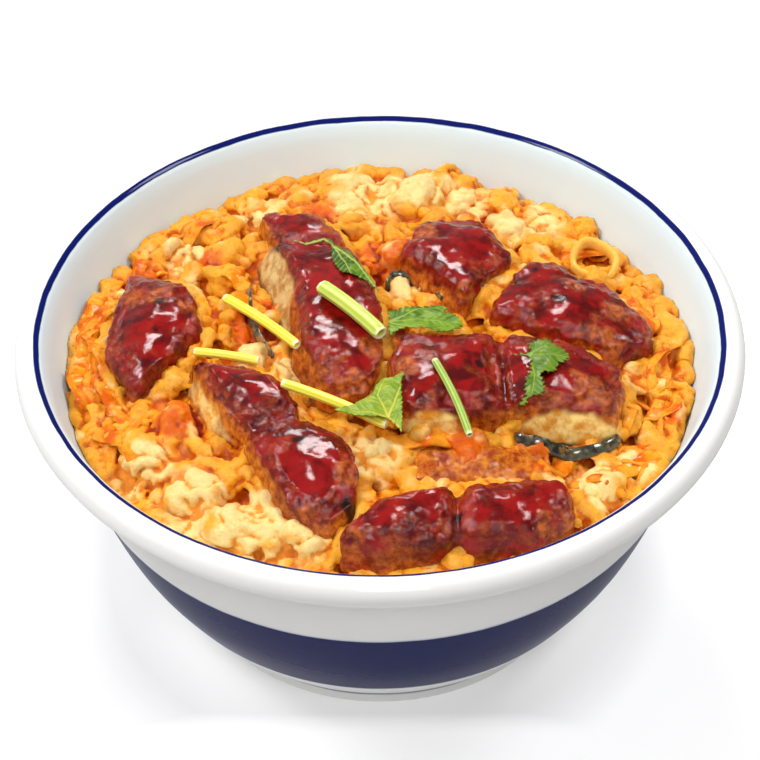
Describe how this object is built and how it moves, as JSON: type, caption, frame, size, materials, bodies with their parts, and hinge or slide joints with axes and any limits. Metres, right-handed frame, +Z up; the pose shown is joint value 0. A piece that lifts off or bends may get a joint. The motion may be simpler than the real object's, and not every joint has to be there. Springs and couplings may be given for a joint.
{
  "type": "bowl of grilled eel and egg",
  "caption": "Deep porcelain bowl filled with soft egg and onion, topped with glazed grilled eel pieces, green stems and leaves.",
  "frame": {"origin": "middle of the foot ring on the surface the bowl stands on", "axes": "+Z up, +Y away from the side the picture shows in front, +X to the right"},
  "size_m": [0.17, 0.17, 0.0892],
  "materials": {
    "porcelain": "glossy white glaze with a blue rim line and a wide blue band",
    "egg": "moist soft egg and onion with orange sauce",
    "eel": "grilled fillet under a wet dark red-brown glaze",
    "herb_leaf": "fresh green leaf, slightly shiny",
    "herb_stem": "fresh yellow-green stem, moist"
  },
  "bodies": {
    "root": {"bowl": "porcelain", "egg_and_onion": "egg", "eel_left": "eel", "eel_center_back": "eel", "eel_center": "eel", "eel_front_left_upper": "eel", "eel_front_left_lower": "eel", "eel_back_right": "eel", "eel_right": "eel", "eel_middle": "eel", "eel_middle_right": "eel", "eel_front": "eel", "eel_front_right": "eel", "eel_sunk": "eel", "leaf_back": "herb_leaf", "leaf_middle": "herb_leaf", "leaf_front": "herb_leaf", "leaf_right": "herb_leaf", "stem_thick": "herb_stem", "stem_upper": "herb_stem", "stem_left": "herb_stem", "stem_lower": "herb_stem", "stem_green": "herb_stem"}
  },
  "joints": []
}
